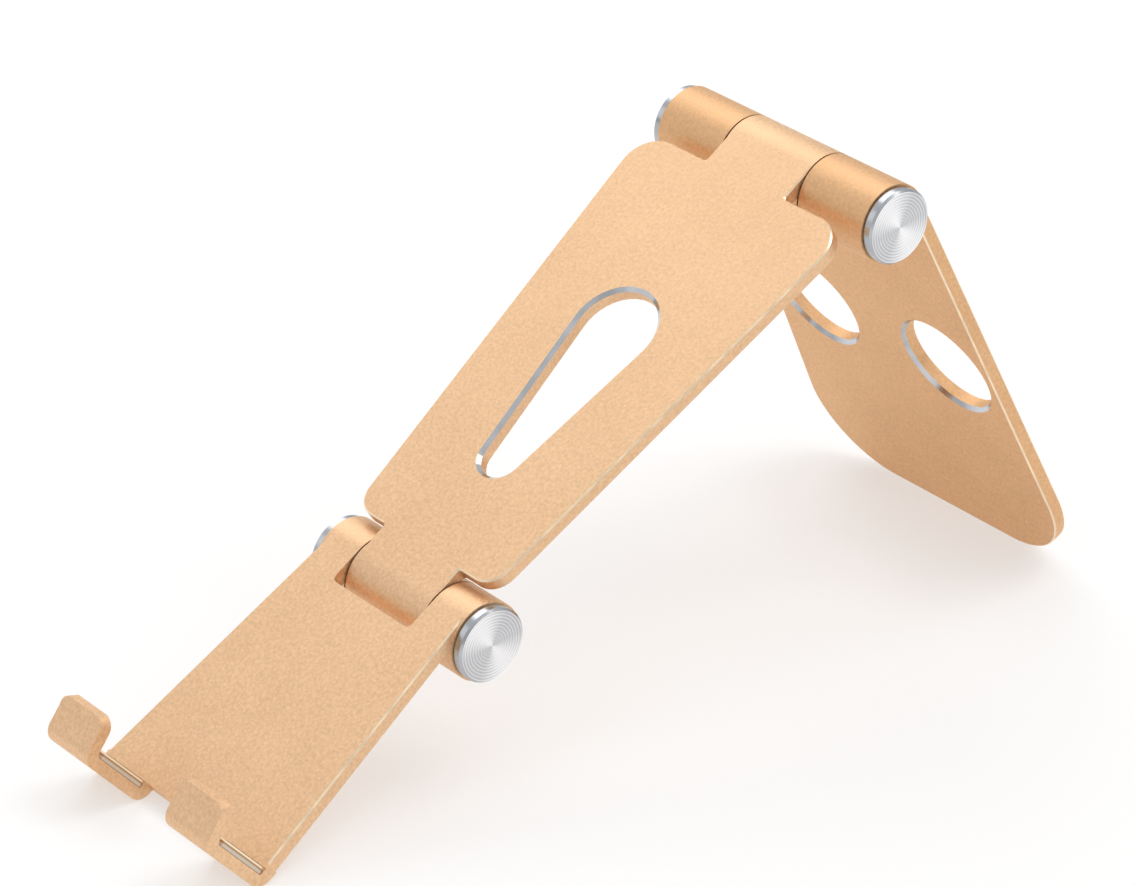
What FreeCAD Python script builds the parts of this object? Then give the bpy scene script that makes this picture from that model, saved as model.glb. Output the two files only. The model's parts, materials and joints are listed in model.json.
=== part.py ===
import FreeCAD, Part
import math
import os
import Sketcher

# Folding phone stand: a holder plate with two hooks, an arm and a leg, joined by two
# friction hinges whose axes run along X. Millimetres, +Z up, the user sits towards -Y.
# Every plate is drawn in a frame of its own: the origin on its hinge axis, Y along the
# plate and Z square to it. settle() then stands the whole assembly on the floor.

SIZES = [
    # hinge barrels and what is inside them
    ("barrel_radius", 8.0, "outside radius of the hinge knuckles"),
    ("arm_knuckle_half", 11.2, "half length of the arm's centre knuckle"),
    ("side_knuckle_start", 11.6, "where the outer knuckles begin, from the middle"),
    ("lower_knuckle_end", 20.75, "where the holder's knuckles end, from the middle"),
    ("upper_knuckle_end", 29.1, "where the leg's knuckles end, from the middle"),
    ("bore_radius", 2.6, "pin bore of every knuckle"),
    ("pocket_radius", 5.5, "pocket for head, nut and washers"),
    ("pocket_depth", 6.0, "depth of that pocket from the knuckle end"),
    ("shank_radius", 2.5, "hinge bolt shank"),
    ("head_radius", 4.25, "hinge bolt head"),
    ("head_height", 3.0, "hinge bolt head"),
    ("socket_across_flats", 3.0, "hexagon socket in the bolt head"),
    ("socket_depth", 1.6, "hexagon socket in the bolt head"),
    ("nut_across_flats", 8.0, "lock nut"),
    ("nut_height", 2.6, "lock nut"),
    ("washer_radius", 4.9, "steel washers and disc springs"),
    ("washer_thickness", 0.8, "steel washers"),
    ("spring_thickness", 0.5, "disc spring sheet"),
    ("spring_rise", 0.4, "height of the disc spring's cone"),
    ("bolt_bevel", 0.5, "bevels on the bolt's head and tail"),
    ("bolt_tail", 0.3, "shank that stands out of the nut"),
    ("friction_radius", 7.6, "nylon washers between the knuckles"),
    ("friction_thickness", 0.3, "nylon washers between the knuckles"),
    # end caps
    ("cap_radius", 7.55, "end caps"),
    ("cap_thickness", 1.9, "end caps, face to rim"),
    ("cap_gap", 0.25, "shadow gap between a knuckle and its cap"),
    ("cap_plug_radius", 5.45, "plug that presses into the knuckle pocket"),
    ("cap_plug_length", 1.2, "plug length inside the knuckle"),
    ("cap_bevel", 0.45, "bevel around the cap's face"),
    # plates
    ("plate_thickness", 3.0, "all three plates"),
    ("edge_bevel", 0.3, "bevel along the plates' edges"),
    ("window_depth", 7.7, "from a hinge axis to the edge of the window round the centre knuckle"),
    ("window_fillet", 1.2, "inside corners of those windows"),
    # arm
    ("arm_length", 110.0, "hinge axis to hinge axis"),
    ("arm_lower_shoulder", 7.1, "lower hinge axis to the arm's shoulders"),
    ("arm_upper_shoulder", 8.3, "upper hinge axis to the arm's shoulders"),
    ("arm_lower_half", 20.5, "half width at the lower shoulders"),
    ("arm_upper_half", 29.25, "half width at the upper shoulders"),
    ("arm_lower_corner", 5.0, "corner radius of the lower shoulders"),
    ("arm_upper_corner", 7.0, "corner radius of the upper shoulders"),
    ("slot_low", 30.0, "lower hinge axis to the centre of the slot's small end"),
    ("slot_high", 62.6, "lower hinge axis to the centre of the slot's large end"),
    ("slot_small_radius", 4.5, "teardrop slot"),
    ("slot_large_radius", 9.1, "teardrop slot"),
    ("polished_bevel", 0.75, "bright bevel round the slot and the holes"),
    # holder
    ("holder_reach", 59.2, "lower hinge axis to the plate's front edge"),
    ("holder_hinge_half", 20.05, "half width at the hinge axis"),
    ("holder_front_half", 25.1, "half width at the hooks"),
    ("hook_inner_half", 12.3, "half width of the cable notch between the hooks"),
    ("hook_reach", 60.8, "lower hinge axis to the foot of the hook's riser"),
    ("hook_lean", 8.5, "degrees that the hook leans outwards"),
    ("riser_thickness", 2.4, "upright of the hook"),
    ("hook_channel", 13.4, "height of the space under the lip, at the riser"),
    ("lip_rise", 20.0, "degrees between the lip and the plate"),
    ("lip_length", 5.0, "riser to the bend of the lip"),
    ("lip_thickness", 2.5, "lip"),
    ("flare_angle", 42.0, "degrees between the lip's end and the plate"),
    ("flare_length", 2.8, "turned-up end of the lip"),
    ("flare_thickness", 2.2, "turned-up end of the lip"),
    ("hook_outer_fillet", 3.2, "outer bends of the hook"),
    ("hook_inner_fillet", 1.0, "inner bend of the hook"),
    ("lip_bend_fillet", 5.0, "gentle bend where the lip turns up"),
    ("lip_corner", 2.2, "rounded corners of the lip, seen from above"),
    ("seat_depth", 0.3, "shallow seat in the plate for the strip's foot"),
    ("pad_thickness", 1.45, "silicone strip on the hook's riser"),
    ("pad_height", 12.4, "silicone strip on the hook's riser"),
    ("pad_margin", 0.4, "hook's side to the strip"),
    ("pad_round", 0.6, "rounded free edges of the strip"),
    # leg
    ("leg_length", 103.0, "upper hinge axis to the foot edge"),
    ("leg_foot_half", 36.8, "half width at the foot"),
    ("leg_corner", 18.0, "corner radius at the foot"),
    ("hole_radius", 11.25, "two round holes in the leg"),
    ("hole_spacing_half", 19.0, "middle of the leg to a hole's centre"),
    ("hole_distance", 50.0, "upper hinge axis to the holes' centres"),
    # stance
    ("arm_tilt", 33.85, "degrees that the arm rises from the floor"),
    ("holder_tilt", 32.78, "degrees that the holder rises from the floor"),
    ("leg_tilt", 116.2, "degrees from +Y up to the leg's line towards its hinge"),
]

AXIS_X = FreeCAD.Vector(1, 0, 0)
FULL_TURN = 360.0
HEXAGON = 6
PLATE_BOTTOM = "Sizes.barrel_radius - Sizes.plate_thickness"
# how far an edge may lie from the place where it is looked for
SLACK = 0.05


def make_document():
    """The document and its sheet of driving dimensions."""
    document = FreeCAD.newDocument("phone_stand")
    sheet = document.addObject("Spreadsheet::Sheet", "Sizes")
    for row, (alias, value, note) in enumerate(SIZES, start=1):
        sheet.set("A%d" % row, alias)
        sheet.set("B%d" % row, str(value))
        sheet.setAlias("B%d" % row, alias)
        sheet.set("C%d" % row, note)
    document.recompute()
    return document, sheet


DOC, SHEET = make_document()


def size(alias):
    """A driving dimension as a number, for placements and for choosing edges."""
    return float(SHEET.get(alias))


# ---------------------------------------------------------------- sketch helpers

def origin_plane(body, role):
    for feature in body.Origin.OriginFeatures:
        if feature.Role == role:
            return feature
    raise ValueError("no plane " + role)


def make_sketch(body, name, role="XY_Plane", height=None):
    """An empty sketch on one of the body's own planes, raised by an expression."""
    sketch = body.newObject("Sketcher::SketchObject", name)
    sketch.AttachmentSupport = [(origin_plane(body, role), "")]
    sketch.MapMode = "FlatFace"
    if height:
        sketch.setExpression("AttachmentOffset.Base.z", height)
    return sketch


def bind(sketch, constraint, expression):
    """Adds a dimensional constraint and binds it to the sheet."""
    index = sketch.addConstraint(constraint)
    sketch.setExpression("Constraints[%d]" % index, expression)


def locate(sketch, geometry, point, place):
    """Fixes a point of the sketch at an (x, y) pair of expressions."""
    x_text, y_text = place
    bind(sketch, Sketcher.Constraint("DistanceX", -1, 1, geometry, point, 1.0), x_text)
    bind(sketch, Sketcher.Constraint("DistanceY", -1, 1, geometry, point, 1.0), y_text)


def draw_outline(sketch, corners):
    """A closed outline of straight lines through corners given as expressions."""
    count = len(corners)
    start = [FreeCAD.Vector(10, 0, 0)]
    turn = FreeCAD.Rotation(FreeCAD.Vector(0, 0, 1), FULL_TURN / count)
    for _ in range(count - 1):
        start.append(turn.multVec(start[-1]))
    for index in range(count):
        line = Part.LineSegment(start[index], start[(index + 1) % count])
        sketch.addGeometry(line, False)
    for index in range(count):
        following = (index + 1) % count
        sketch.addConstraint(Sketcher.Constraint("Coincident", index, 2, following, 1))
    for index, corner in enumerate(corners):
        locate(sketch, index, 1, corner)


def draw_circle(sketch, centre, radius):
    circle = Part.Circle(FreeCAD.Vector(1, 1, 0), FreeCAD.Vector(0, 0, 1), 1.0)
    index = sketch.addGeometry(circle, False)
    locate(sketch, index, 3, centre)
    bind(sketch, Sketcher.Constraint("Radius", index, 1.0), radius)


# ---------------------------------------------------------------- body helpers

def make_body(label):
    body = DOC.addObject("PartDesign::Body", label)
    body.Label = label
    return body


def pad(body, name, sketch, length, centred=False):
    feature = body.newObject("PartDesign::Pad", name)
    feature.Profile = sketch
    feature.setExpression("Length", length)
    if centred:
        feature.SideType = "Symmetric"
    DOC.recompute()
    return feature


def cut_through(body, name, sketch):
    """A pocket that runs both ways from its sketch, right through the body."""
    feature = body.newObject("PartDesign::Pocket", name)
    feature.Profile = sketch
    feature.SideType = "Symmetric"
    feature.Type = 1
    DOC.recompute()
    return feature


def spin(body, kind, name, sketch):
    """A revolution or groove of a sketch about its own X axis."""
    feature = body.newObject("PartDesign::" + kind, name)
    feature.Profile = sketch
    feature.ReferenceAxis = (sketch, ["H_Axis"])
    feature.Angle = FULL_TURN
    DOC.recompute()
    return feature


def edge_names(feature, test):
    """Names of the straight or round edges of a feature that pass a test."""
    names = []
    for number, edge in enumerate(feature.Shape.Edges, start=1):
        if test(edge):
            names.append("Edge%d" % number)
    return names


def dress(body, kind, name, dimension, test):
    """A fillet or chamfer on the chosen edges of the body's tip."""
    base = body.Tip
    names = edge_names(base, test)
    if not names:
        raise ValueError("no edges for " + name)
    feature = body.newObject("PartDesign::" + kind, name)
    feature.Base = (base, names)
    feature.setExpression("Radius" if kind == "Fillet" else "Size", dimension)
    DOC.recompute()
    return feature


def ends(edge):
    return [vertex.Point for vertex in edge.Vertexes]


def is_along(edge, axis):
    """True for a straight edge that runs along one of X, Y and Z (0, 1, 2)."""
    points = ends(edge)
    if len(points) != 2:
        return False
    step = points[1] - points[0]
    return abs(abs(step[axis]) - step.Length) < 1e-4 and step.Length > 1e-3


def is_near(value, target):
    return abs(value - target) < SLACK


def lies_at(edge, axis, level):
    """True where every end of the edge has this coordinate."""
    return all(is_near(point[axis], level) for point in ends(edge))


def flat_edge(edge, level):
    """True for an edge that lies wholly in the plane Z = level."""
    box = edge.BoundBox
    return is_near(box.ZMin, level) and is_near(box.ZMax, level)


# ---------------------------------------------------------------- plates

def bore_hinge(body, end_name):
    """Pin bore and the two pockets for head and nut, as one stepped groove."""
    end = "Sizes.%s" % end_name
    floor = "(%s - Sizes.pocket_depth)" % end
    beyond = "(%s + 1)" % end
    sketch = make_sketch(body, "BoreProfile")
    draw_outline(sketch, [
        (beyond, "0"),
        (beyond, "Sizes.pocket_radius"),
        (floor, "Sizes.pocket_radius"),
        (floor, "Sizes.bore_radius"),
        ("-" + floor, "Sizes.bore_radius"),
        ("-" + floor, "Sizes.pocket_radius"),
        ("-" + beyond, "Sizes.pocket_radius"),
        ("-" + beyond, "0"),
    ])
    return spin(body, "Groove", "Bore", sketch)


def outer_knuckles(body, end_name):
    """The two outer knuckles, one on each side of the window."""
    end = "Sizes.%s" % end_name
    start = "Sizes.side_knuckle_start"
    for side, inner_face in (("Right", start), ("Left", "-" + end)):
        sketch = make_sketch(body, side + "KnuckleCircle", "YZ_Plane", inner_face)
        draw_circle(sketch, ("0", "0"), "Sizes.barrel_radius")
        pad(body, side + "Knuckle", sketch, "%s - %s" % (end, start))


def knuckle_window(body):
    """The opening in the plate in which the arm's centre knuckle turns."""
    half = "Sizes.side_knuckle_start"
    sketch = make_sketch(body, "WindowOutline")
    draw_outline(sketch, [
        (half, "-Sizes.window_depth"),
        (half, "2 * Sizes.barrel_radius"),
        ("-" + half, "2 * Sizes.barrel_radius"),
        ("-" + half, "-Sizes.window_depth"),
    ])
    return cut_through(body, "Window", sketch)


def round_window(body):
    """Rounds the two inside corners of the window."""
    depth = -size("window_depth")
    return dress(body, "Fillet", "WindowCorners", "Sizes.window_fillet",
                 lambda edge: is_along(edge, 2) and lies_at(edge, 1, depth))


def bevel_outline(body, levels, beyond):
    """Bevels a plate's outline on both faces, where its test says so."""
    def chosen(edge):
        return any(flat_edge(edge, level) for level in levels) and beyond(edge)
    return dress(body, "Chamfer", "EdgeBevel", "Sizes.edge_bevel", chosen)


def is_side(edge):
    """True for a tapered side of a plate: a long straight edge near the Y direction."""
    points = ends(edge)
    if len(points) != 2 or edge.Length < 2 * size("barrel_radius"):
        return False
    return abs(points[1].y - points[0].y) > 0.9 * edge.Length


def hook_profile():
    """Side view of a hook: foot, leaning riser, lip and its turned-up end."""
    lean = "(Sizes.hook_lean * 1 deg)"
    rise = "(Sizes.lip_rise * 1 deg)"
    flare = "(Sizes.flare_angle * 1 deg)"
    top = "Sizes.barrel_radius"
    under = "(Sizes.barrel_radius - Sizes.plate_thickness)"
    start = "(Sizes.holder_reach - 1)"
    thick = "Sizes.riser_thickness"
    lip = "Sizes.lip_thickness"

    def step(place, along, up):
        return ("(%s + %s)" % (place[0], along), "(%s + %s)" % (place[1], up))

    riser_foot = ("Sizes.hook_reach", top)
    riser_top = step(riser_foot, "Sizes.hook_channel * tan(%s)" % lean, "Sizes.hook_channel")
    bend = step(riser_top, "(-Sizes.lip_length * cos(%s))" % rise,
                "Sizes.lip_length * sin(%s)" % rise)
    tip = step(bend, "(-Sizes.flare_length * cos(%s))" % flare,
               "Sizes.flare_length * sin(%s)" % flare)
    tip_outer = step(tip, "Sizes.flare_thickness * sin(%s)" % flare,
                     "Sizes.flare_thickness * cos(%s)" % flare)
    spread = "(%s / (1 + cos(%s - %s)))" % (lip, flare, rise)
    bend_outer = step(bend, "%s * (sin(%s) + sin(%s))" % (spread, rise, flare),
                      "%s * (cos(%s) + cos(%s))" % (spread, rise, flare))
    # the outer corner lies one thickness off the riser and one off the lip
    skew = "sin(%s - %s)" % (rise, lean)
    off_riser = "((%s - %s * %s) / (1 - %s ^ 2))" % (thick, skew, lip, skew)
    off_lip = "((%s - %s * %s) / (1 - %s ^ 2))" % (lip, skew, thick, skew)
    shoulder = step(riser_top,
                    "(%s * cos(%s) + %s * sin(%s))" % (off_riser, lean, off_lip, rise),
                    "(%s * cos(%s) - %s * sin(%s))" % (off_lip, rise, off_riser, lean))
    heel = ("(Sizes.hook_reach + %s / cos(%s) - Sizes.plate_thickness * tan(%s))"
            % (thick, lean, lean), under)
    outline = [(start, under), heel, shoulder, bend_outer, tip_outer, tip, bend, riser_top,
               riser_foot, (start, top)]
    return [("-" + away, up) for away, up in outline]


def hook_points():
    """The same corners as numbers, to find the edges to round."""
    sketch = DOC.getObject("HookProfile")
    return [sketch.getPoint(index, 1) for index in range(len(hook_profile()))]


def round_hook(body):
    """Rounds the bends of the hooks."""
    points = hook_points()
    heel, shoulder, bend_outer = points[1:4]
    bend, riser_top = points[6:8]

    def edges_at(places):
        def chosen(edge):
            if not is_along(edge, 0):
                return False
            point = ends(edge)[0]
            return any(is_near(point.y, place.x) and is_near(point.z, place.y)
                       for place in places)
        return chosen

    dress(body, "Fillet", "HookOuterBends", "Sizes.hook_outer_fillet",
          edges_at([heel, shoulder]))
    dress(body, "Fillet", "HookInnerBend", "Sizes.hook_inner_fillet", edges_at([riser_top]))
    dress(body, "Fillet", "LipBend", "Sizes.lip_bend_fillet", edges_at([bend_outer, bend]))


def seat_strips(body):
    """A shallow seat at the foot of the risers, where the silicone strips stand."""
    sketch = make_sketch(body, "SeatOutline", height="Sizes.barrel_radius")
    across = "2 * Sizes.holder_front_half"
    draw_outline(sketch, [
        (across, "-Sizes.hook_reach"),
        (across, "-Sizes.holder_reach"),
        ("-" + across, "-Sizes.holder_reach"),
        ("-" + across, "-Sizes.hook_reach"),
    ])
    feature = body.newObject("PartDesign::Pocket", "Seat")
    feature.Profile = sketch
    feature.setExpression("Length", "Sizes.seat_depth")
    DOC.recompute()
    return feature


def part_lips(body):
    """Clears the lip between the hooks where it hangs over the plate."""
    sketch = make_sketch(body, "LipGapOutline", height="Sizes.barrel_radius")
    draw_outline(sketch, [
        ("Sizes.hook_inner_half", "-Sizes.holder_reach"),
        ("-Sizes.hook_inner_half", "-Sizes.holder_reach"),
        ("-Sizes.hook_inner_half", "-0.5 * Sizes.holder_reach"),
        ("Sizes.hook_inner_half", "-0.5 * Sizes.holder_reach"),
    ])
    feature = body.newObject("PartDesign::Pocket", "LipGap")
    feature.Profile = sketch
    feature.Reversed = True
    feature.setExpression("Length", "2 * Sizes.hook_channel")
    DOC.recompute()
    return feature


def round_lip_corners(body):
    """Rounds the lips' corners, seen along the riser."""
    tip_outer, tip = hook_points()[4:6]

    def chosen(edge):
        points = ends(edge)
        if len(points) != 2 or not is_near(points[0].x, points[1].x):
            return False
        return all(any(is_near(point.y, place.x) and is_near(point.z, place.y)
                       for place in (tip_outer, tip)) for point in points)
    return dress(body, "Fillet", "LipCorners", "Sizes.lip_corner", chosen)


def make_holder():
    """Holder plate: outer knuckles of the lower hinge, plate and two hooks."""
    body = make_body("holder_plate")
    blank = make_sketch(body, "HolderOutline", height=PLATE_BOTTOM)
    draw_outline(blank, [
        ("Sizes.holder_hinge_half", "0"),
        ("-Sizes.holder_hinge_half", "0"),
        ("-Sizes.holder_front_half", "-Sizes.holder_reach"),
        ("Sizes.holder_front_half", "-Sizes.holder_reach"),
    ])
    pad(body, "HolderPlate", blank, "Sizes.plate_thickness")
    top = size("barrel_radius")
    bevel_outline(body, [top, top - size("plate_thickness")], is_side)

    hooks = make_sketch(body, "HookProfile", "YZ_Plane")
    draw_outline(hooks, hook_profile())
    pad(body, "Hooks", hooks, "2 * Sizes.holder_front_half", centred=True)

    notch = make_sketch(body, "NotchOutline")
    draw_outline(notch, [
        ("Sizes.hook_inner_half", "-Sizes.holder_reach"),
        ("-Sizes.hook_inner_half", "-Sizes.holder_reach"),
        ("-Sizes.hook_inner_half", "-2 * Sizes.holder_reach"),
        ("Sizes.hook_inner_half", "-2 * Sizes.holder_reach"),
    ])
    cut_through(body, "Notch", notch)
    part_lips(body)
    seat_strips(body)
    round_hook(body)
    round_lip_corners(body)
    knuckle_window(body)
    round_window(body)
    outer_knuckles(body, "lower_knuckle_end")
    bore_hinge(body, "lower_knuckle_end")
    return body


def arm_outline():
    """The arm from above: a neck at each hinge and a tapered plate between shoulders."""
    neck = "Sizes.arm_knuckle_half"
    low = "Sizes.arm_lower_shoulder"
    high = "(Sizes.arm_length - Sizes.arm_upper_shoulder)"
    right = [
        (neck, "0"),
        (neck, low),
        ("Sizes.arm_lower_half", low),
        ("Sizes.arm_upper_half", high),
        (neck, high),
        (neck, "Sizes.arm_length"),
    ]
    left = [("-" + across, along) for across, along in reversed(right)]
    return right + left


def round_shoulders(body):
    """Rounds the arm's shoulders, a larger radius at the upper hinge."""
    low = size("arm_lower_shoulder")
    high = size("arm_length") - size("arm_upper_shoulder")
    outside = 1.2 * size("arm_knuckle_half")

    def shoulder_at(level):
        return lambda edge: (is_along(edge, 2) and lies_at(edge, 1, level)
                             and abs(ends(edge)[0].x) > outside)
    dress(body, "Fillet", "LowerShoulders", "Sizes.arm_lower_corner", shoulder_at(low))
    dress(body, "Fillet", "UpperShoulders", "Sizes.arm_upper_corner", shoulder_at(high))
    dress(body, "Fillet", "NeckCorners", "0.5 * Sizes.window_fillet",
          lambda edge: (is_along(edge, 2) and abs(ends(edge)[0].x) < outside
                        and (lies_at(edge, 1, low) or lies_at(edge, 1, high))))


def draw_teardrop(sketch):
    """Two arcs of different radius joined by the two lines that touch both."""
    across = FreeCAD.Vector(0, 0, 1)
    low_centre = FreeCAD.Vector(0, size("slot_low"), 0)
    high_centre = FreeCAD.Vector(0, size("slot_high"), 0)
    small = size("slot_small_radius")
    large = size("slot_large_radius")
    # angle of the touching points above the horizontal
    lift = math.asin((small - large) / (high_centre.y - low_centre.y))
    half = math.pi
    low_circle = Part.Circle(low_centre, across, small)
    high_circle = Part.Circle(high_centre, across, large)
    low_arc = Part.ArcOfCircle(low_circle, half - lift, 2 * half + lift)
    high_arc = Part.ArcOfCircle(high_circle, lift, half - lift)
    right = Part.LineSegment(low_arc.EndPoint, high_arc.StartPoint)
    left = Part.LineSegment(high_arc.EndPoint, low_arc.StartPoint)
    for piece in (low_arc, right, high_arc, left):
        sketch.addGeometry(piece, False)
    for index in range(4):
        following = (index + 1) % 4
        sketch.addConstraint(Sketcher.Constraint("Tangent", index, 2, following, 1))
    locate(sketch, 0, 3, ("0", "Sizes.slot_low"))
    locate(sketch, 2, 3, ("0", "Sizes.slot_high"))
    bind(sketch, Sketcher.Constraint("Radius", 0, small), "Sizes.slot_small_radius")
    bind(sketch, Sketcher.Constraint("Radius", 2, large), "Sizes.slot_large_radius")


def make_arm():
    """Arm: centre knuckles of both hinges and a plate with a teardrop slot."""
    body = make_body("arm_plate")
    blank = make_sketch(body, "ArmOutline", height=PLATE_BOTTOM)
    draw_outline(blank, arm_outline())
    pad(body, "ArmPlate", blank, "Sizes.plate_thickness")
    round_shoulders(body)

    top = size("barrel_radius")
    low = size("arm_lower_shoulder")
    high = size("arm_length") - size("arm_upper_shoulder")
    bevel_outline(body, [top, top - size("plate_thickness")],
                  lambda edge: low - SLACK < edge.BoundBox.YMin
                  and edge.BoundBox.YMax < high + SLACK)

    slot = make_sketch(body, "SlotOutline")
    draw_teardrop(slot)
    cut_through(body, "Slot", slot)
    within = 1.1 * size("slot_large_radius")

    def on_slot(edge):
        box = edge.BoundBox
        return (flat_edge(edge, top) and max(-box.XMin, box.XMax) < within
                and box.YMin > 2 * low and box.YMax < high - low)
    dress(body, "Chamfer", "SlotBevel", "Sizes.polished_bevel", on_slot)

    for name, along in (("Lower", "0"), ("Upper", "Sizes.arm_length")):
        circle = make_sketch(body, name + "BarrelCircle", "YZ_Plane")
        draw_circle(circle, (along, "0"), "Sizes.barrel_radius")
        pad(body, name + "Barrel", circle, "2 * Sizes.arm_knuckle_half", centred=True)
        circle = make_sketch(body, name + "BoreCircle", "YZ_Plane")
        draw_circle(circle, (along, "0"), "Sizes.bore_radius")
        cut_through(body, name + "Bore", circle)
    return body


def make_leg():
    """Leg: outer knuckles of the upper hinge and a wide plate with two round holes."""
    body = make_body("leg_plate")
    blank = make_sketch(body, "LegOutline", height="-Sizes.barrel_radius")
    draw_outline(blank, [
        ("Sizes.upper_knuckle_end", "0"),
        ("-Sizes.upper_knuckle_end", "0"),
        ("-Sizes.leg_foot_half", "-Sizes.leg_length"),
        ("Sizes.leg_foot_half", "-Sizes.leg_length"),
    ])
    pad(body, "LegPlate", blank, "Sizes.plate_thickness")
    foot = -size("leg_length")
    dress(body, "Fillet", "FootCorners", "Sizes.leg_corner",
          lambda edge: is_along(edge, 2) and lies_at(edge, 1, foot))
    inner = size("plate_thickness") - size("barrel_radius")
    bevel_outline(body, [inner, -size("barrel_radius")],
                  lambda edge: is_side(edge) or edge.BoundBox.YMin < foot + SLACK
                  or edge.BoundBox.YMax < 0.5 * foot)

    holes = make_sketch(body, "HoleCircles")
    for side in ("", "-"):
        draw_circle(holes, (side + "Sizes.hole_spacing_half", "-Sizes.hole_distance"),
                    "Sizes.hole_radius")
    cut_through(body, "Holes", holes)

    def is_rim(edge):
        return (flat_edge(edge, inner) and hasattr(edge.Curve, "Radius")
                and is_near(edge.Curve.Radius, size("hole_radius")))
    dress(body, "Chamfer", "HoleBevel", "Sizes.polished_bevel", is_rim)

    knuckle_window(body)
    round_window(body)
    outer_knuckles(body, "upper_knuckle_end")
    bore_hinge(body, "upper_knuckle_end")
    return body


# ---------------------------------------------------------------- hinge hardware

def turned_body(label, outline):
    """A part turned about its own X axis from half of its section."""
    body = make_body(label)
    sketch = make_sketch(body, "Section")
    draw_outline(sketch, outline)
    spin(body, "Revolution", "Turning", sketch)
    return body


def hexagon_corners(across_flats):
    """Corners of a hexagon about the X axis, in the YZ plane."""
    radius = "(%s / 2 / cos(30 deg))" % across_flats
    corners = []
    for number in range(HEXAGON):
        angle = FULL_TURN / HEXAGON * number
        corners.append(("%s * cos(%g deg)" % (radius, angle),
                        "%s * sin(%g deg)" % (radius, angle)))
    return corners


def make_bolt(hinge, end_name):
    """Hinge bolt: round head with a hexagon socket, and a plain shank as the pin."""
    seat = "(Sizes.%s - Sizes.pocket_depth + Sizes.washer_thickness)" % end_name
    tail = ("(%s + Sizes.spring_thickness + Sizes.spring_rise + Sizes.nut_height"
            " + Sizes.bolt_tail)" % seat)
    crown = "(%s + Sizes.head_height)" % seat
    bevel = "Sizes.bolt_bevel"
    body = turned_body(hinge + "_hinge_bolt", [
        (crown, "0"),
        (crown, "Sizes.head_radius - " + bevel),
        ("%s - %s" % (crown, bevel), "Sizes.head_radius"),
        (seat, "Sizes.head_radius"),
        (seat, "Sizes.shank_radius"),
        ("%s - %s" % ("-" + tail, "-" + bevel), "Sizes.shank_radius"),
        ("-" + tail, "Sizes.shank_radius - " + bevel),
        ("-" + tail, "0"),
    ])
    socket = make_sketch(body, "SocketOutline", "YZ_Plane", "%s - Sizes.socket_depth" % crown)
    draw_outline(socket, hexagon_corners("Sizes.socket_across_flats"))
    feature = body.newObject("PartDesign::Pocket", "Socket")
    feature.Profile = socket
    feature.Reversed = True
    feature.setExpression("Length", "2 * Sizes.socket_depth")
    DOC.recompute()
    return body


def make_nut(hinge):
    """Thin hexagon lock nut, lying from X = 0 to -nut_height."""
    body = make_body(hinge + "_hinge_nut")
    sketch = make_sketch(body, "HexagonOutline", "YZ_Plane")
    draw_outline(sketch, hexagon_corners("Sizes.nut_across_flats"))
    draw_circle(sketch, ("0", "0"), "Sizes.shank_radius")
    feature = pad(body, "Hexagon", sketch, "Sizes.nut_height")
    feature.Reversed = True
    DOC.recompute()
    return body


def make_ring(label, outer, inner, thickness):
    """A flat washer about the X axis, from X = 0 outwards."""
    return turned_body(label, [("0", inner), ("0", outer), (thickness, outer),
                               (thickness, inner)])


def make_disc_spring(hinge):
    """A disc spring: a washer dished towards the nut."""
    rise = "Sizes.spring_rise"
    sheet = "Sizes.spring_thickness"
    return turned_body(hinge + "_disc_spring", [
        ("-" + rise, "Sizes.bore_radius"),
        ("0", "Sizes.washer_radius"),
        ("-" + sheet, "Sizes.washer_radius"),
        ("-%s - %s" % (rise, sheet), "Sizes.bore_radius"),
    ])


def make_cap(label):
    """End cap: a bevelled disc and the plug that presses into the knuckle."""
    disc = "Sizes.cap_gap"
    face = "(Sizes.cap_gap + Sizes.cap_thickness)"
    bevel = "Sizes.cap_bevel"
    return turned_body(label, [
        ("-Sizes.cap_plug_length", "0"),
        ("-Sizes.cap_plug_length", "Sizes.cap_plug_radius"),
        (disc, "Sizes.cap_plug_radius"),
        (disc, "Sizes.cap_radius"),
        ("%s - %s" % (face, bevel), "Sizes.cap_radius"),
        (face, "Sizes.cap_radius - " + bevel),
        (face, "0"),
    ])


def make_hinge(hinge, end_name):
    """All the hardware of one hinge, with the distance of each piece along X."""
    end = size(end_name)
    floor = end - size("pocket_depth")
    seat = floor + size("washer_thickness")
    gap_start = size("side_knuckle_start") - size("friction_thickness")
    pieces = [
        (make_bolt(hinge, end_name), 0.0, False),
        (make_disc_spring(hinge), -seat, False),
        (make_nut(hinge), -seat - size("spring_rise") - size("spring_thickness"), False),
    ]
    for side, mirrored in (("right", False), ("left", True)):
        sign = -1 if mirrored else 1
        steel = make_ring("%s_steel_washer_%s" % (hinge, side), "Sizes.washer_radius",
                          "Sizes.bore_radius", "Sizes.washer_thickness")
        nylon = make_ring("%s_friction_washer_%s" % (hinge, side), "Sizes.friction_radius",
                          "Sizes.bore_radius", "Sizes.friction_thickness")
        cap = make_cap("%s_end_cap_%s" % (hinge, side))
        pieces += [(steel, sign * floor, mirrored), (nylon, sign * gap_start, mirrored),
                   (cap, sign * end, mirrored)]
    return pieces


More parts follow.
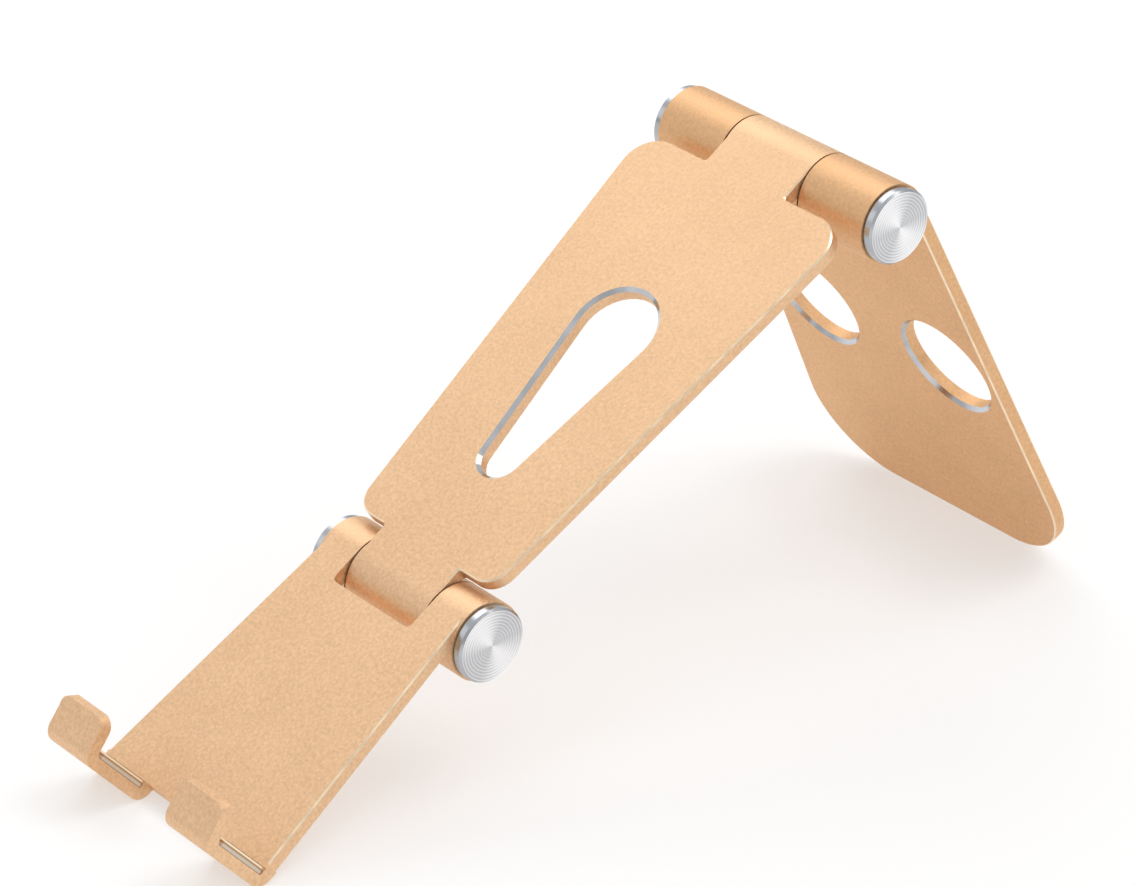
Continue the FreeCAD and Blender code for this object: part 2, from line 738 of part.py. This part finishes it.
def make_strip(side):
    """Silicone strip that lies on the inside of a hook's riser."""
    body = make_body("hook_pad_" + side)
    sketch = make_sketch(body, "Section", "YZ_Plane")
    draw_outline(sketch, [
        ("0", "0"),
        ("Sizes.pad_thickness", "0"),
        ("Sizes.pad_thickness", "Sizes.pad_height"),
        ("0", "Sizes.pad_height"),
    ])
    pad(body, "Strip", sketch,
        "Sizes.holder_front_half - Sizes.hook_inner_half - 2 * Sizes.pad_margin")
    free = size("pad_thickness")
    dress(body, "Fillet", "FreeEdges", "Sizes.pad_round",
          lambda edge: is_along(edge, 0) and lies_at(edge, 1, free))
    return body


# ---------------------------------------------------------------- stance

def turned(degrees):
    return FreeCAD.Rotation(AXIS_X, degrees)


def strip_place(side):
    """Place of a strip in the holder's frame: it leans with the riser."""
    lean = turned(size("hook_lean"))
    floor = size("barrel_radius") - size("seat_depth")
    foot_y = size("seat_depth") * math.tan(math.radians(size("hook_lean")))
    left_edge = size("hook_inner_half") + size("pad_margin")
    if side == "left":
        left_edge = size("pad_margin") - size("holder_front_half")
    return FreeCAD.Placement(FreeCAD.Vector(left_edge, foot_y - size("hook_reach"), floor), lean)


def hinge_places():
    """Placements of holder, arm and leg with the lower hinge axis at the origin."""
    arm = FreeCAD.Placement(FreeCAD.Vector(), turned(size("arm_tilt")))
    holder = FreeCAD.Placement(FreeCAD.Vector(), turned(size("holder_tilt")))
    upper_axis = arm.multVec(FreeCAD.Vector(0, size("arm_length"), 0))
    leg = FreeCAD.Placement(upper_axis, turned(size("leg_tilt")))
    return holder, arm, leg


def along_axis(place, distance, mirrored):
    """A place on a hinge axis, turned to face the other way on the left."""
    facing = FreeCAD.Rotation(FreeCAD.Vector(0, 0, 1), 180 if mirrored else 0)
    return place.multiply(FreeCAD.Placement(FreeCAD.Vector(distance, 0, 0), facing))


def build():
    """Makes every sub-part and gives it its place in the standing assembly."""
    holder_place, arm_place, leg_place = hinge_places()
    placed = [(make_holder(), holder_place), (make_arm(), arm_place), (make_leg(), leg_place)]
    for hinge, end_name, place in (("lower", "lower_knuckle_end", holder_place),
                                   ("upper", "upper_knuckle_end", leg_place)):
        for piece, distance, mirrored in make_hinge(hinge, end_name):
            placed.append((piece, along_axis(place, distance, mirrored)))
    for side in ("left", "right"):
        placed.append((make_strip(side), holder_place.multiply(strip_place(side))))
    for piece, place in placed:
        piece.Placement = place
    DOC.recompute()
    return [piece for piece, _ in placed]


def settle(pieces):
    """Moves everything so that the box's bottom centre is the origin."""
    box = FreeCAD.BoundBox()
    for piece in pieces:
        box.add(piece.Shape.BoundBox)
    shift = FreeCAD.Vector(-box.Center.x, -box.Center.y, -box.ZMin)
    for piece in pieces:
        place = piece.Placement
        place.Base = place.Base + shift
        piece.Placement = place
    DOC.recompute()
    return shift


def verify():
    """Stops if any object failed to compute or has a broken shape."""
    for item in DOC.Objects:
        if "Invalid" in item.State or "Error" in item.State:
            raise RuntimeError("not computed: " + item.Label)
        shape = getattr(item, "Shape", None)
        if shape is not None and not shape.isNull() and not shape.isValid():
            raise RuntimeError("broken shape: " + item.Label)


def export(pieces):
    os.makedirs("parts", exist_ok=True)
    for piece in pieces:
        piece.Shape.exportStep("parts/%s.step" % piece.Label)


PIECES = build()
SHIFT = settle(PIECES)
verify()
export(PIECES)
for piece in PIECES:
    box = piece.Shape.BoundBox
    print("%-28s %9.1f mm3  X %.1f..%.1f  Y %.1f..%.1f  Z %.1f..%.1f" % (
        piece.Label, piece.Shape.Volume, box.XMin, box.XMax, box.YMin, box.YMax,
        box.ZMin, box.ZMax))
upper = FreeCAD.Vector(0, size("arm_length"), 0)
print("lower axis", SHIFT, "upper axis", SHIFT + turned(size("arm_tilt")).multVec(upper))
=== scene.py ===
import json
import math

import bpy
from mathutils import Matrix, Vector


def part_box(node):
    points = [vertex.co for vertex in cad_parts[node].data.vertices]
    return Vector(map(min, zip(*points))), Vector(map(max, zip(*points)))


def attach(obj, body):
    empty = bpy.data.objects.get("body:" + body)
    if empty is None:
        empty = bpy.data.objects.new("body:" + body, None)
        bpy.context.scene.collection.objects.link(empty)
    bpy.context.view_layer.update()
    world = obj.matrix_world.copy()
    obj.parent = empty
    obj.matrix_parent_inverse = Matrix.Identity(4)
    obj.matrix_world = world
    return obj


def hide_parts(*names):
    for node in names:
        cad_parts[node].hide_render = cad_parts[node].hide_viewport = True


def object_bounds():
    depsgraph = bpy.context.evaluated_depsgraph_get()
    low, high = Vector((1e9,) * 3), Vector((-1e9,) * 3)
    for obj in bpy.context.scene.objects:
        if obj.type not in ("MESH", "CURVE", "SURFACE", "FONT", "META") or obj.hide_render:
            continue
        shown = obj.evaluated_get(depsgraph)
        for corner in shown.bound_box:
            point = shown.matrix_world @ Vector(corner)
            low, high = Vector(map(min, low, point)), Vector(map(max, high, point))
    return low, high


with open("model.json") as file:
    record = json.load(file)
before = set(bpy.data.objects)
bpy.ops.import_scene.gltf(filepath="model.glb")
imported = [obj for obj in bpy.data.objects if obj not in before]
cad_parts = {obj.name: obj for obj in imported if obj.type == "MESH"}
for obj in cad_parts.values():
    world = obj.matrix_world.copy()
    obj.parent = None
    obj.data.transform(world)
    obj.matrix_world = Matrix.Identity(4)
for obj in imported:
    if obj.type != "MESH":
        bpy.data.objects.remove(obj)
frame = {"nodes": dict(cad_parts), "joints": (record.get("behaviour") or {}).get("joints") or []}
CAD_LOW, CAD_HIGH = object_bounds()
MM = 0.001

# ---------------------------------------------------------------- places from the frame

JOINTS = {joint["name"]: joint for joint in frame["joints"]}
LOWER_AXIS = Vector(JOINTS["lower_hinge"]["pos_m"])
UPPER_AXIS = Vector(JOINTS["upper_hinge"]["pos_m"])
CENTRE = (CAD_LOW + CAD_HIGH) / 2
BARREL_RADIUS = 8.0 * MM
PLATES = {
    "holder_plate": (LOWER_AXIS,),
    "arm_plate": (LOWER_AXIS, UPPER_AXIS),
    "leg_plate": (UPPER_AXIS,),
}
CAPS = {
    "lower_end_cap_left": ("holder", LOWER_AXIS),
    "lower_end_cap_right": ("holder", LOWER_AXIS),
    "upper_end_cap_left": ("leg", UPPER_AXIS),
    "upper_end_cap_right": ("leg", UPPER_AXIS),
}

# ---------------------------------------------------------------- sizes

# end caps: a disc with turned rings, and the plug behind it
CAP_RADIUS = 7.55 * MM
CAP_BEVEL = 0.45 * MM
CAP_DISC = 1.9 * MM
CAP_PLUG_RADIUS = 5.45 * MM
CAP_SEGMENTS = 128
CAP_SHARP_ANGLE = 25.0
RING_PITCH = 0.62 * MM
RING_START = 1.2 * MM
RING_DEPTH = 0.07 * MM
RING_STEPS = 6
# the rings grow from faint to full between these two radii
RING_FADE = (1.0 * MM, 4.5 * MM)
RING_FAINTEST = 0.15
# how far in from the cap's edge, and from its face, its spun finish ends, in bevels
SPUN_EDGE = 0.9
SPUN_DEPTH = 1 / 3

# bevels: the slope of a bevel against its plate, and where the cut ones lie
BEVEL_SLOPE = (0.6, 0.8)
BARREL_REACH = 1.1 * BARREL_RADIUS
HOLDER_BEVEL_END = 57 * MM
SLOT_HALF_WIDTH = 10.6 * MM
SLOT_FROM_AXES = 20 * MM
HOLES_ACROSS = (6.5 * MM, 31.3 * MM)
HOLES_ALONG = (36 * MM, 64 * MM)

# material slots of a plate and of an end cap
GOLD_SLOT, EDGE_SLOT, POLISHED_SLOT = range(3)
SPUN_SLOT, RIM_SLOT = range(2)

# ---------------------------------------------------------------- colours and finishes

GOLD_LIGHT = (0.92, 0.645, 0.41)
GOLD_DEEP = (0.70, 0.46, 0.27)
PLATE_TINT = (1.0, 1.0, 1.0)
# the leg plate's gold, darkened and deepened as painted shade
LEG_PAINTED_SHADE_TINT = (0.94, 0.87, 0.77)
# the bevels are really cut; their paler gold is a painted highlight along the plates' edges
GOLD_BEVEL_PAINTED_HIGHLIGHT = (0.98, 0.80, 0.58)
SILVER_BEVEL = (0.58, 0.60, 0.63)
CAP_RIM = (0.50, 0.52, 0.55)
BEVEL_DARKEST = 0.85
# the spun face's colour is painted light: a dark tone for painted shade in its grooves, a bright
# one for its painted highlight, the grooves' share and the angle of the highlight's wedges
SPUN_SHADE_AND_HIGHLIGHT = ((0.42, 0.43, 0.45), (0.95, 0.95, 0.96))
SPUN_ANISOTROPY = 0.9
GROOVE_SHADE_CONTRAST = 0.22
PAINTED_FAN_ANGLE = 125.0
STEEL_TONES = ((0.42, 0.43, 0.45), (0.62, 0.63, 0.65))
NYLON_TONES = ((0.012, 0.010, 0.009), (0.030, 0.024, 0.020))
# the values that most of a noise lies between
NOISE_RANGE = (0.3, 0.7)
# texture scales, in features per metre
GRAIN_SCALE = 1500.0
CLOUD_SCALE = 60.0
CUTTER_SCALE = 250.0
STEEL_SCALE = 1200.0
NYLON_SCALE = 1500.0
DUST_SCALE = 1800.0
# colour of a silicone strip, from the riser outwards: a thin dark brown back, its own pale grey, a
# dark amber band of painted reflection of the gold and a bright band of painted highlight near its
# free face
STRIP_BACK = (0.06, (0.30, 0.22, 0.15))
STRIP_FRONT = (1.0, (0.58, 0.52, 0.44))
STRIP_TONES_AND_PAINTED_LIGHT = (
    (0.12, (0.62, 0.55, 0.46)),
    (0.45, (0.62, 0.55, 0.46)),
    (0.55, (0.42, 0.24, 0.11)),
    (0.72, (0.46, 0.26, 0.12)),
    (0.82, (0.98, 0.84, 0.58)),
    (0.90, (0.98, 0.84, 0.58)),
)

# ---------------------------------------------------------------- stage, light and camera

FLOOR_REACH = 8.0
FLOOR_DROP = 0.0002
FLOOR_TONES = ((0.46, 0.46, 0.46), (0.50, 0.50, 0.50))
FLOOR_GLOW = 0.48
WHITE = (1.0, 1.0, 1.0, 1.0)
# strength of the room's light at two heights of the sky
ROOM_HEIGHTS = (-0.1, 0.9)
ROOM_STRENGTHS = (0.60, 0.80)
# soft boxes: name, direction from the object, distance, side, power
SOFT_BOXES = (
    ("key", (-0.68, 0.20, 0.75), 1.5, 1.0, 4.9),
    ("front", (-0.70, -0.65, 0.40), 1.4, 0.6, 0.6),
    ("top", (0.25, 0.45, 0.9), 1.6, 0.9, 6.0),
    ("side", (0.95, -0.1, 0.35), 1.4, 0.35, 2.0),
)
# the camera stands at two angles round a point close to the middle of the object
AIM = CENTRE + Vector((-0.3, -1.67, 0.15)) * MM
AZIMUTH = 49.99
ELEVATION = 28.04
ROLL = 0.66
DISTANCE = 0.880
LENS = 147.0
SENSOR = 36.0


# ---------------------------------------------------------------- node helpers

def new_material(name):
    """An empty node tree with a Principled shader wired to its output."""
    material = bpy.data.materials.new(name)
    material.use_nodes = True
    tree = material.node_tree
    tree.nodes.clear()
    output = tree.nodes.new("ShaderNodeOutputMaterial")
    shader = tree.nodes.new("ShaderNodeBsdfPrincipled")
    tree.links.new(shader.outputs["BSDF"], output.inputs["Surface"])
    return material, tree, shader


def coordinates(tree, kind):
    return tree.nodes.new("ShaderNodeTexCoord").outputs[kind]


def plug_in(tree, values, sockets):
    """Links each value that is another node's output, and sets each that is a constant."""
    for value, socket in zip(values, sockets):
        if isinstance(value, bpy.types.NodeSocket):
            tree.links.new(value, socket)
        else:
            socket.default_value = value


def maths(tree, operation, *values):
    node = tree.nodes.new("ShaderNodeMath")
    node.operation = operation
    plug_in(tree, values, node.inputs)
    return node.outputs["Value"]


def vector_maths(tree, operation, result, *values):
    node = tree.nodes.new("ShaderNodeVectorMath")
    node.operation = operation
    plug_in(tree, values, node.inputs)
    return node.outputs[result]


def split(tree, vector):
    node = tree.nodes.new("ShaderNodeSeparateXYZ")
    tree.links.new(vector, node.inputs["Vector"])
    return node.outputs


def noise(tree, vector, scale, detail=2.0, roughness=0.5):
    node = tree.nodes.new("ShaderNodeTexNoise")
    node.inputs["Scale"].default_value = scale
    node.inputs["Detail"].default_value = detail
    node.inputs["Roughness"].default_value = roughness
    tree.links.new(vector, node.inputs["Vector"])
    return node.outputs["Fac"]


def span(tree, value, source, target):
    """Maps a value from one range to another, clamped."""
    node = tree.nodes.new("ShaderNodeMapRange")
    node.inputs["From Min"].default_value = source[0]
    node.inputs["From Max"].default_value = source[1]
    node.inputs["To Min"].default_value = target[0]
    node.inputs["To Max"].default_value = target[1]
    tree.links.new(value, node.inputs["Value"])
    return node.outputs["Result"]


def blend_colours(tree, factor, first, second):
    node = tree.nodes.new("ShaderNodeMix")
    node.data_type = "RGBA"
    first_socket, second_socket = [socket for socket in node.inputs if socket.type == "RGBA"]
    first_socket.default_value = (*first, 1.0)
    second_socket.default_value = (*second, 1.0)
    tree.links.new(factor, node.inputs["Factor"])
    return next(socket for socket in node.outputs if socket.type == "RGBA")


def bump(tree, height, strength, distance):
    node = tree.nodes.new("ShaderNodeBump")
    node.inputs["Strength"].default_value = strength
    node.inputs["Distance"].default_value = distance
    tree.links.new(height, node.inputs["Height"])
    return node.outputs["Normal"]


# ---------------------------------------------------------------- materials

def blasted_gold(name, tint):
    """Anodised aluminium with the fine grain that bead blasting leaves."""
    material, tree, shader = new_material(name)
    light = tuple(channel * share for channel, share in zip(GOLD_LIGHT, tint))
    deep = tuple(channel * share for channel, share in zip(GOLD_DEEP, tint))
    place = coordinates(tree, "Object")
    grain = noise(tree, place, GRAIN_SCALE, detail=3.0, roughness=0.6)
    cloud = noise(tree, place, CLOUD_SCALE)
    tone = maths(tree, "ADD",
                 span(tree, grain, NOISE_RANGE, (0.1, 0.9)),
                 span(tree, cloud, NOISE_RANGE, (-0.08, 0.08)))
    tree.links.new(blend_colours(tree, tone, deep, light), shader.inputs["Base Color"])
    tree.links.new(span(tree, grain, NOISE_RANGE, (0.50, 0.62)), shader.inputs["Roughness"])
    tree.links.new(bump(tree, grain, 0.35, 0.06 * MM), shader.inputs["Normal"])
    shader.inputs["Metallic"].default_value = 1.0
    return material


def bright_bevel(name, colour, roughness):
    """A diamond-cut bevel: bare bright metal with faint cutter lines; on the gold bevels the pale
    colour is a painted highlight.
    """
    material, tree, shader = new_material(name)
    lines = noise(tree, coordinates(tree, "Object"), CUTTER_SCALE, detail=1.0)
    darkest = tuple(BEVEL_DARKEST * channel for channel in colour)
    tone = blend_colours(tree, span(tree, lines, (0.35, 0.65), (0.0, 1.0)), darkest, colour)
    tree.links.new(tone, shader.inputs["Base Color"])
    tree.links.new(span(tree, lines, NOISE_RANGE, (0.8 * roughness, 1.2 * roughness)),
                   shader.inputs["Roughness"])
    shader.inputs["Metallic"].default_value = 1.0
    return material


def painted_fan_highlight(tree, across):
    """Painted highlight: two opposite wedges, bright along one line through the middle of a turned
    face.
    """
    parts = split(tree, across)
    angle = maths(tree, "ARCTAN2", parts["Z"], parts["Y"])
    double = maths(tree, "MULTIPLY_ADD", angle, 2.0, -2.0 * math.radians(PAINTED_FAN_ANGLE))
    return span(tree, maths(tree, "COSINE", double), (-0.6, 1.0), (0.35, 0.95))


def rings(tree, across):
    """Waves round the middle of a turned face, fading towards it; in the colour they are painted
    shade in the grooves and a painted highlight on the ridges.
    """
    reach = vector_maths(tree, "LENGTH", "Value", across)
    phase = maths(tree, "MULTIPLY", reach, 2 * math.pi / RING_PITCH)
    fading = span(tree, reach, RING_FADE, (RING_FAINTEST, 1.0))
    return maths(tree, "MULTIPLY", maths(tree, "SINE", phase), fading)


def spun_face_painted_light():
    """Turned end face, its colour painted light: a painted highlight on the ridges, painted shade
    in the grooves and two wedges of painted highlight.
    """
    material, tree, shader = new_material("spun_face_painted_light")
    centred = vector_maths(tree, "SUBTRACT", "Vector",
                           coordinates(tree, "Generated"), (0.5, 0.5, 0.5))
    across = vector_maths(tree, "MULTIPLY", "Vector",
                          centred, (0.0, 2 * CAP_RADIUS, 2 * CAP_RADIUS))
    tone = maths(tree, "MULTIPLY_ADD", rings(tree, across), GROOVE_SHADE_CONTRAST, painted_fan_highlight(tree, across))
    tree.links.new(blend_colours(tree, tone, *SPUN_SHADE_AND_HIGHLIGHT), shader.inputs["Base Color"])
    tangent = tree.nodes.new("ShaderNodeTangent")
    tangent.direction_type = "RADIAL"
    tangent.axis = "X"
    tree.links.new(tangent.outputs["Tangent"], shader.inputs["Tangent"])
    shader.inputs["Metallic"].default_value = 1.0
    shader.inputs["Roughness"].default_value = 0.30
    shader.inputs["Anisotropic"].default_value = SPUN_ANISOTROPY
    return material


def zinc_steel():
    """Zinc-plated steel, mottled by its plating."""
    material, tree, shader = new_material("zinc_steel")
    marks = noise(tree, coordinates(tree, "Object"), STEEL_SCALE)
    tree.links.new(blend_colours(tree, marks, *STEEL_TONES), shader.inputs["Base Color"])
    tree.links.new(span(tree, marks, NOISE_RANGE, (0.28, 0.42)), shader.inputs["Roughness"])
    shader.inputs["Metallic"].default_value = 1.0
    return material


def black_nylon():
    """Dull black nylon with the grain of its mould."""
    material, tree, shader = new_material("black_nylon")
    marks = noise(tree, coordinates(tree, "Object"), NYLON_SCALE)
    tree.links.new(blend_colours(tree, marks, *NYLON_TONES), shader.inputs["Base Color"])
    tree.links.new(span(tree, marks, NOISE_RANGE, (0.5, 0.65)), shader.inputs["Roughness"])
    return material


def strip_tones_and_painted_light(tree, share):
    """The strip's colours, from its back at 0 to its free face at 1, with a painted reflection and
    a painted highlight among them.
    """
    bands = tree.nodes.new("ShaderNodeValToRGB")
    ramp = bands.color_ramp
    for element, (position, colour) in zip(ramp.elements, (STRIP_BACK, STRIP_FRONT)):
        element.position = position
        element.color = (*colour, 1.0)
    for position, colour in STRIP_TONES_AND_PAINTED_LIGHT:
        ramp.elements.new(position).color = (*colour, 1.0)
    tree.links.new(share, bands.inputs["Fac"])
    return bands.outputs["Color"]


def grey_silicone_painted_light(mesh):
    """Milky silicone strip: pale at its back, a painted reflection of the gold in amber inside it
    and a bright painted highlight near its free edge.
    """
    material, tree, shader = new_material("grey_silicone_painted_light")
    across = plate_normal(mesh)
    if across.z < 0:
        across = -across
    depths = [vertex.co.dot(across) for vertex in mesh.vertices]
    place = coordinates(tree, "Object")
    depth = vector_maths(tree, "DOT_PRODUCT", "Value", place, across)
    share = span(tree, depth, (min(depths), max(depths)), (0.0, 1.0))
    tree.links.new(strip_tones_and_painted_light(tree, share), shader.inputs["Base Color"])
    dust = noise(tree, place, DUST_SCALE)
    tree.links.new(span(tree, dust, NOISE_RANGE, (0.40, 0.55)), shader.inputs["Roughness"])
    tree.links.new(bump(tree, dust, 0.2, 0.03 * MM), shader.inputs["Normal"])
    return material


# ---------------------------------------------------------------- which face gets what

def dress_node(name, *materials):
    """Puts materials on a CAD node in place of its own."""
    mesh = frame["nodes"][name].data
    mesh.materials.clear()
    for material in materials:
        mesh.materials.append(material)
    return mesh


def plate_normal(mesh):
    """The direction that most of a plate's area faces."""
    areas = {}
    for face in mesh.polygons:
        key = tuple(round(value, 2) for value in face.normal)
        areas[key] = areas.get(key, 0.0) + face.area
    return Vector(max(areas, key=areas.get)).normalized()


def axis_distance(point, axis):
    """Distance from a point to a hinge axis, which runs along X."""
    return math.hypot(point.y - axis.y, point.z - axis.z)


def is_slot_bevel(point):
    """Near the arm's middle line and away from both hinges."""
    away = min(axis_distance(point, LOWER_AXIS), axis_distance(point, UPPER_AXIS))
    return abs(point.x) < SLOT_HALF_WIDTH and away > SLOT_FROM_AXES


def is_hole_bevel(point):
    """In one of the two squares that the leg's round holes fill."""
    away = axis_distance(point, UPPER_AXIS)
    return (HOLES_ACROSS[0] < abs(point.x) < HOLES_ACROSS[1]
            and HOLES_ALONG[0] < away < HOLES_ALONG[1])


POLISHED_BEVELS = {"arm_plate": is_slot_bevel, "leg_plate": is_hole_bevel}


def plate_slot(name, face, facing):
    """Gold on a plate, a brighter gold on its bevels as a painted highlight and bare metal round
    its openings.
    """
    slope = abs(face.normal.dot(facing))
    near = min(axis_distance(face.center, axis) for axis in PLATES[name])
    if near < BARREL_REACH or not BEVEL_SLOPE[0] < slope < BEVEL_SLOPE[1]:
        return GOLD_SLOT
    if name in POLISHED_BEVELS and POLISHED_BEVELS[name](face.center):
        return POLISHED_SLOT
    if name == "holder_plate" and near >= HOLDER_BEVEL_END:
        return GOLD_SLOT
    return EDGE_SLOT


def dress_plate(name, *materials):
    """Materials in the order of a plate's slots, shared out face by face."""
    mesh = dress_node(name, *materials)
    facing = plate_normal(mesh)
    for face in mesh.polygons:
        face.material_index = plate_slot(name, face, facing)


# ---------------------------------------------------------------- turned end caps

def face_profile():
    """Radius and depth of points across a cap's face, out to its bevel."""
    points = [(0.0, 0.0)]
    outer = CAP_RADIUS - CAP_BEVEL - RING_PITCH / 2
    count = int(RING_STEPS * (outer - RING_START) / RING_PITCH)
    for number in range(count + 1):
        radius = RING_START + RING_PITCH * number / RING_STEPS
        growth = (radius - RING_FADE[0]) / (RING_FADE[1] - RING_FADE[0])
        depth = RING_DEPTH * min(max(growth, RING_FAINTEST), 1.0)
        wave = math.sin(2 * math.pi * radius / RING_PITCH)
        points.append((radius, depth * (1 - wave) / 2))
    points.append((CAP_RADIUS - CAP_BEVEL, 0.0))
    return points


def cap_profile(thick):
    """Radius and depth of points from the middle of the face round to the middle of the back."""
    return face_profile() + [
        (CAP_RADIUS, CAP_BEVEL),
        (CAP_RADIUS, CAP_DISC),
        (CAP_PLUG_RADIUS, CAP_DISC),
        (CAP_PLUG_RADIUS, thick),
        (0.0, thick),
    ]


def turned_points(profile, axis, face_x, outwards):
    """A ring about the axis for each point of the profile, and one point at each of its ends."""
    places = []
    ends = (0, len(profile) - 1)
    for number, (radius, depth) in enumerate(profile):
        x = face_x - outwards * depth
        if number in ends:
            places.append((x, axis.y, axis.z))
            continue
        for step in range(CAP_SEGMENTS):
            angle = 2 * math.pi * step / CAP_SEGMENTS
            places.append((x, axis.y + radius * math.cos(angle), axis.z + radius * math.sin(angle)))
    return places


def turned_faces(ring_count):
    """Triangles round both end points and quads from ring to ring."""
    last_point = 1 + ring_count * CAP_SEGMENTS
    last_ring = last_point - CAP_SEGMENTS
    faces = []
    for step in range(CAP_SEGMENTS):
        following = (step + 1) % CAP_SEGMENTS
        faces.append((0, 1 + step, 1 + following))
        for inner in range(1, last_ring, CAP_SEGMENTS):
            outer = inner + CAP_SEGMENTS
            faces.append((inner + step, outer + step, outer + following, inner + following))
        faces.append((last_ring + step, last_point, last_ring + following))
    return faces


def turned_mesh(name, profile, axis, face_x, outwards):
    """A closed mesh turned about a hinge axis, its face outwards along X."""
    faces = turned_faces(len(profile) - 2)
    if outwards < 0:
        faces = [tuple(reversed(face)) for face in faces]
    mesh = bpy.data.meshes.new(name)
    mesh.from_pydata(turned_points(profile, axis, face_x, outwards), [], faces)
    mesh.validate()
    mesh.shade_smooth()
    mesh.set_sharp_from_angle(angle=math.radians(CAP_SHARP_ANGLE))
    return mesh


def turn_cap(name, body, axis, spun_painted, rim):
    """An end cap with real turned rings, in the space of its plain solid."""
    low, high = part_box(name)
    outwards = 1 if low.x + high.x > 0 else -1
    face_x = high.x if outwards > 0 else low.x
    profile = cap_profile(high.x - low.x)
    mesh = turned_mesh("turned_" + name, profile, axis, face_x, outwards)
    mesh.materials.append(spun_painted)
    mesh.materials.append(rim)
    spun_radius = CAP_RADIUS - SPUN_EDGE * CAP_BEVEL
    for face in mesh.polygons:
        is_inside = axis_distance(face.center, axis) < spun_radius
        is_at_face = abs(face.center.x - face_x) < SPUN_DEPTH * CAP_BEVEL
        face.material_index = SPUN_SLOT if is_inside and is_at_face else RIM_SLOT
    cap = bpy.data.objects.new("turned_" + name, mesh)
    bpy.context.collection.objects.link(cap)
    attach(cap, body)
    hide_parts(name)


# ---------------------------------------------------------------- the whole stand

def dress_plates():
    plate_gold = blasted_gold("blasted_gold", PLATE_TINT)
    # the leg gets a darker copy of the gold as painted shade
    leg_shaded_gold = blasted_gold("gold_painted_shade", LEG_PAINTED_SHADE_TINT)
    edge = bright_bevel("gold_bevel_painted_highlight", GOLD_BEVEL_PAINTED_HIGHLIGHT, 0.30)
    polished = bright_bevel("silver_bevel", SILVER_BEVEL, 0.16)
    for name in PLATES:
        gold = leg_shaded_gold if name == "leg_plate" else plate_gold
        dress_plate(name, gold, edge, polished)


def make_caps():
    spun_painted = spun_face_painted_light()
    rim = bright_bevel("cap_rim", CAP_RIM, 0.24)
    for name, (body, axis) in CAPS.items():
        turn_cap(name, body, axis, spun_painted, rim)


def dress_small_parts():
    """Silicone on the strips, nylon on the friction washers and steel on the rest."""
    steel = zinc_steel()
    nylon = black_nylon()
    for name, node in frame["nodes"].items():
        if name.startswith("hook_pad"):
            dress_node(name, grey_silicone_painted_light(node.data))
        elif "friction" in name:
            dress_node(name, nylon)
        elif name not in PLATES and name not in CAPS:
            dress_node(name, steel)


# ---------------------------------------------------------------- surroundings

def make_floor():
    """A pale light table that runs far past the picture."""
    mesh = bpy.data.meshes.new("floor")
    corners = [(-FLOOR_REACH, -FLOOR_REACH, 0), (FLOOR_REACH, -FLOOR_REACH, 0),
               (FLOOR_REACH, FLOOR_REACH, 0), (-FLOOR_REACH, FLOOR_REACH, 0)]
    mesh.from_pydata(corners, [], [(0, 1, 2, 3)])
    floor = bpy.data.objects.new("floor", mesh)
    bpy.context.collection.objects.link(floor)
    floor.location.z = -FLOOR_DROP
    material, tree, shader = new_material("floor_white")
    tint = noise(tree, coordinates(tree, "Object"), 3.0)
    tree.links.new(blend_colours(tree, tint, *FLOOR_TONES), shader.inputs["Base Color"])
    shader.inputs["Roughness"].default_value = 0.9
    shader.inputs["Emission Color"].default_value = WHITE
    shader.inputs["Emission Strength"].default_value = FLOOR_GLOW
    mesh.materials.append(material)


def make_world():
    """A pale room: brighter overhead than at the horizon."""
    world = bpy.data.worlds.new("room")
    bpy.context.scene.world = world
    world.use_nodes = True
    tree = world.node_tree
    tree.nodes.clear()
    output = tree.nodes.new("ShaderNodeOutputWorld")
    background = tree.nodes.new("ShaderNodeBackground")
    height = split(tree, coordinates(tree, "Generated"))["Z"]
    level = span(tree, height, ROOM_HEIGHTS, ROOM_STRENGTHS)
    tree.links.new(level, background.inputs["Strength"])
    background.inputs["Color"].default_value = WHITE
    tree.links.new(background.outputs["Background"], output.inputs["Surface"])


def soft_box(name, direction, distance, side, power):
    """A square area light in a direction from the object, turned towards it."""
    light = bpy.data.lights.new(name, "AREA")
    light.shape = "SQUARE"
    light.size = side
    light.energy = power
    lamp = bpy.data.objects.new(name, light)
    bpy.context.collection.objects.link(lamp)
    towards = Vector(direction).normalized()
    lamp.location = CENTRE + towards * distance
    lamp.rotation_mode = "QUATERNION"
    lamp.rotation_quaternion = towards.to_track_quat("Z", "Y")


def make_lights():
    for values in SOFT_BOXES:
        soft_box(*values)


def make_camera():
    """A long lens, in front of the stand on its right and well above it."""
    camera = bpy.data.cameras.new("camera")
    camera.lens = LENS
    camera.sensor_width = SENSOR
    eye = bpy.data.objects.new("camera", camera)
    bpy.context.collection.objects.link(eye)
    around = math.radians(AZIMUTH)
    up = math.radians(ELEVATION)
    back = Vector((math.sin(around) * math.cos(up), -math.cos(around) * math.cos(up),
                   math.sin(up)))
    turn = (-back).to_track_quat("-Z", "Y").to_matrix().to_4x4()
    roll = Matrix.Rotation(math.radians(ROLL), 4, "Z")
    eye.matrix_world = Matrix.Translation(AIM + back * DISTANCE) @ turn @ roll
    bpy.context.scene.camera = eye


def set_view():
    """Colours as they are, with no film look over them."""
    scene = bpy.context.scene
    scene.view_settings.view_transform = "Standard"
    scene.view_settings.look = "None"


dress_plates()
make_caps()
dress_small_parts()
make_floor()
make_world()
make_lights()
make_camera()
set_view()
